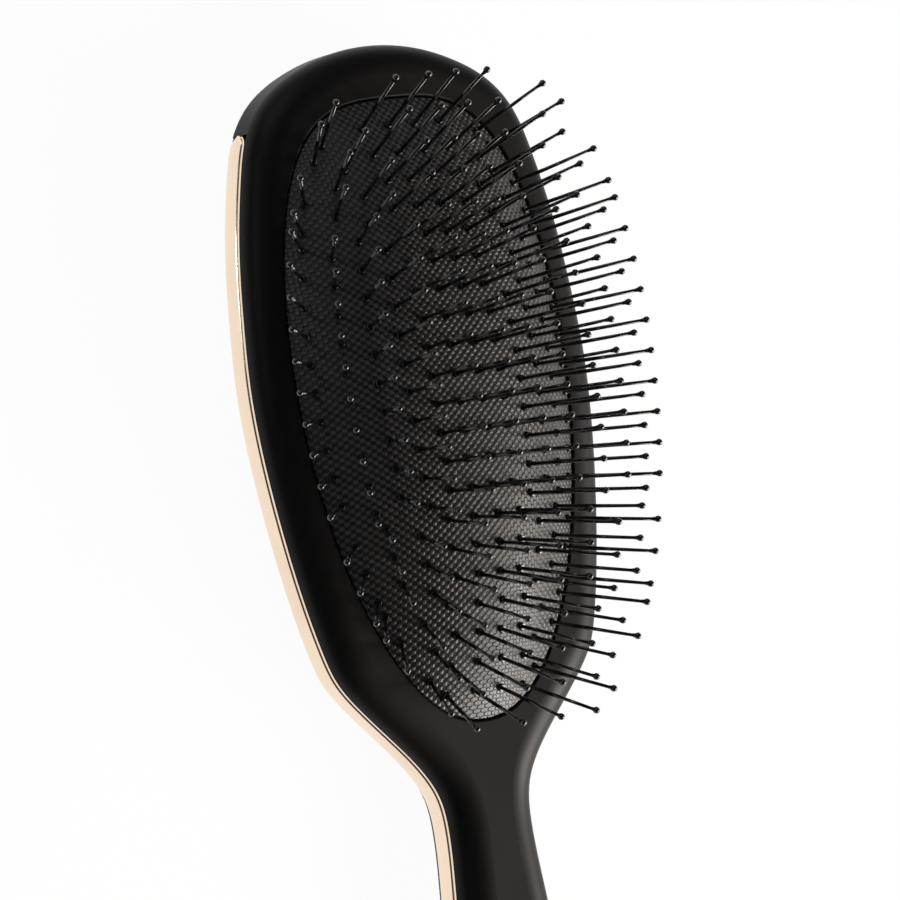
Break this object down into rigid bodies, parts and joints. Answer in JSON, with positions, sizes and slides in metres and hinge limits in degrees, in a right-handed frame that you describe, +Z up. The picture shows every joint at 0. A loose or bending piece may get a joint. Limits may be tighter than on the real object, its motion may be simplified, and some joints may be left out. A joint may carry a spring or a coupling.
{
  "type": "detangling hair brush",
  "caption": "Oval cushion brush with rows of ball-tipped bristles on a domed rubber pad, a plated strip round its edge and a tapered handle.",
  "frame": {"origin": "on the flat back, at the middle of the brush's length and width", "axes": "+X across the head, +Y along the brush from the handle to the crown of the head, +Z up, the way the bristles point"},
  "size_m": [0.0782, 0.2284, 0.0443],
  "materials": {
    "shell": "black, soft touch",
    "trim": "plated, champagne, glossy",
    "cushion": "black, finely pitted",
    "ring": "black, plain",
    "bristle": "black, glossy"
  },
  "bodies": {
    "body": {"front_shell": "shell", "back_shell": "shell", "trim_band": "trim", "retainer_ring": "ring"},
    "cushion_pad": {"cushion": "cushion"},
    "bristle_row_01": {"bristle_row_01": "bristle"},
    "bristle_row_02": {"bristle_row_02": "bristle"},
    "bristle_row_03": {"bristle_row_03": "bristle"},
    "bristle_row_04": {"bristle_row_04": "bristle"},
    "bristle_row_05": {"bristle_row_05": "bristle"},
    "bristle_row_06": {"bristle_row_06": "bristle"},
    "bristle_row_07": {"bristle_row_07": "bristle"},
    "bristle_row_08": {"bristle_row_08": "bristle"},
    "bristle_row_09": {"bristle_row_09": "bristle"},
    "bristle_row_10": {"bristle_row_10": "bristle"},
    "bristle_row_11": {"bristle_row_11": "bristle"},
    "bristle_row_12": {"bristle_row_12": "bristle"},
    "bristle_row_13": {"bristle_row_13": "bristle"},
    "bristle_row_14": {"bristle_row_14": "bristle"},
    "bristle_row_15": {"bristle_row_15": "bristle"},
    "bristle_row_16": {"bristle_row_16": "bristle"},
    "bristle_row_17": {"bristle_row_17": "bristle"},
    "bristle_row_18": {"bristle_row_18": "bristle"},
    "bristle_row_19": {"bristle_row_19": "bristle"},
    "bristle_row_20": {"bristle_row_20": "bristle"},
    "bristle_row_21": {"bristle_row_21": "bristle"}
  },
  "joints": [
    {"name": "cushion_press", "type": "slide", "parent": "body", "child": "cushion_pad", "axis": [0, 0, -1], "range_m": [0, 0.003], "stiffness_N_per_m": 3000, "deforming": ["cushion"]},
    {"name": "row_01_lean", "type": "hinge", "parent": "cushion_pad", "child": "bristle_row_01", "pos_m": [0, -0.0057, 0.01562], "axis": [1, 0, 0], "range_deg": [-8, 8], "stiffness_Nm_per_rad": 0.016},
    {"name": "row_02_lean", "type": "hinge", "parent": "cushion_pad", "child": "bristle_row_02", "pos_m": [0, -0.00128, 0.01693], "axis": [1, 0, 0], "range_deg": [-8, 8], "stiffness_Nm_per_rad": 0.024},
    {"name": "row_03_lean", "type": "hinge", "parent": "cushion_pad", "child": "bristle_row_03", "pos_m": [0, 0.00411, 0.01806], "axis": [1, 0, 0], "range_deg": [-8, 8], "stiffness_Nm_per_rad": 0.032},
    {"name": "row_04_lean", "type": "hinge", "parent": "cushion_pad", "child": "bristle_row_04", "pos_m": [0, 0.00932, 0.019], "axis": [1, 0, 0], "range_deg": [-8, 8], "stiffness_Nm_per_rad": 0.032},
    {"name": "row_05_lean", "type": "hinge", "parent": "cushion_pad", "child": "bristle_row_05", "pos_m": [0, 0.01416, 0.01991], "axis": [1, 0, 0], "range_deg": [-8, 8], "stiffness_Nm_per_rad": 0.04},
    {"name": "row_06_lean", "type": "hinge", "parent": "cushion_pad", "child": "bristle_row_06", "pos_m": [0, 0.01936, 0.02055], "axis": [1, 0, 0], "range_deg": [-8, 8], "stiffness_Nm_per_rad": 0.04},
    {"name": "row_07_lean", "type": "hinge", "parent": "cushion_pad", "child": "bristle_row_07", "pos_m": [0, 0.02456, 0.02105], "axis": [1, 0, 0], "range_deg": [-8, 8], "stiffness_Nm_per_rad": 0.04},
    {"name": "row_08_lean", "type": "hinge", "parent": "cushion_pad", "child": "bristle_row_08", "pos_m": [0, 0.02992, 0.02153], "axis": [1, 0, 0], "range_deg": [-8, 8], "stiffness_Nm_per_rad": 0.048},
    {"name": "row_09_lean", "type": "hinge", "parent": "cushion_pad", "child": "bristle_row_09", "pos_m": [0, 0.03512, 0.0218], "axis": [1, 0, 0], "range_deg": [-8, 8], "stiffness_Nm_per_rad": 0.048},
    {"name": "row_10_lean", "type": "hinge", "parent": "cushion_pad", "child": "bristle_row_10", "pos_m": [0, 0.04032, 0.02197], "axis": [1, 0, 0], "range_deg": [-8, 8], "stiffness_Nm_per_rad": 0.048},
    {"name": "row_11_lean", "type": "hinge", "parent": "cushion_pad", "child": "bristle_row_11", "pos_m": [0, 0.04552, 0.02205], "axis": [1, 0, 0], "range_deg": [-8, 8], "stiffness_Nm_per_rad": 0.048},
    {"name": "row_12_lean", "type": "hinge", "parent": "cushion_pad", "child": "bristle_row_12", "pos_m": [0, 0.05072, 0.02206], "axis": [1, 0, 0], "range_deg": [-8, 8], "stiffness_Nm_per_rad": 0.048},
    {"name": "row_13_lean", "type": "hinge", "parent": "cushion_pad", "child": "bristle_row_13", "pos_m": [0, 0.05592, 0.022], "axis": [1, 0, 0], "range_deg": [-8, 8], "stiffness_Nm_per_rad": 0.048},
    {"name": "row_14_lean", "type": "hinge", "parent": "cushion_pad", "child": "bristle_row_14", "pos_m": [0, 0.06112, 0.02183], "axis": [1, 0, 0], "range_deg": [-8, 8], "stiffness_Nm_per_rad": 0.048},
    {"name": "row_15_lean", "type": "hinge", "parent": "cushion_pad", "child": "bristle_row_15", "pos_m": [0, 0.06632, 0.02155], "axis": [1, 0, 0], "range_deg": [-8, 8], "stiffness_Nm_per_rad": 0.048},
    {"name": "row_16_lean", "type": "hinge", "parent": "cushion_pad", "child": "bristle_row_16", "pos_m": [0, 0.07152, 0.02113], "axis": [1, 0, 0], "range_deg": [-8, 8], "stiffness_Nm_per_rad": 0.048},
    {"name": "row_17_lean", "type": "hinge", "parent": "cushion_pad", "child": "bristle_row_17", "pos_m": [0, 0.07672, 0.02055], "axis": [1, 0, 0], "range_deg": [-8, 8], "stiffness_Nm_per_rad": 0.048},
    {"name": "row_18_lean", "type": "hinge", "parent": "cushion_pad", "child": "bristle_row_18", "pos_m": [0, 0.08176, 0.01966], "axis": [1, 0, 0], "range_deg": [-8, 8], "stiffness_Nm_per_rad": 0.04},
    {"name": "row_19_lean", "type": "hinge", "parent": "cushion_pad", "child": "bristle_row_19", "pos_m": [0, 0.08696, 0.0187], "axis": [1, 0, 0], "range_deg": [-8, 8], "stiffness_Nm_per_rad": 0.04},
    {"name": "row_20_lean", "type": "hinge", "parent": "cushion_pad", "child": "bristle_row_20", "pos_m": [0, 0.09252, 0.01742], "axis": [1, 0, 0], "range_deg": [-8, 8], "stiffness_Nm_per_rad": 0.032},
    {"name": "row_21_lean", "type": "hinge", "parent": "cushion_pad", "child": "bristle_row_21", "pos_m": [0, 0.09752, 0.01585], "axis": [1, 0, 0], "range_deg": [-8, 8], "stiffness_Nm_per_rad": 0.024}
  ]
}
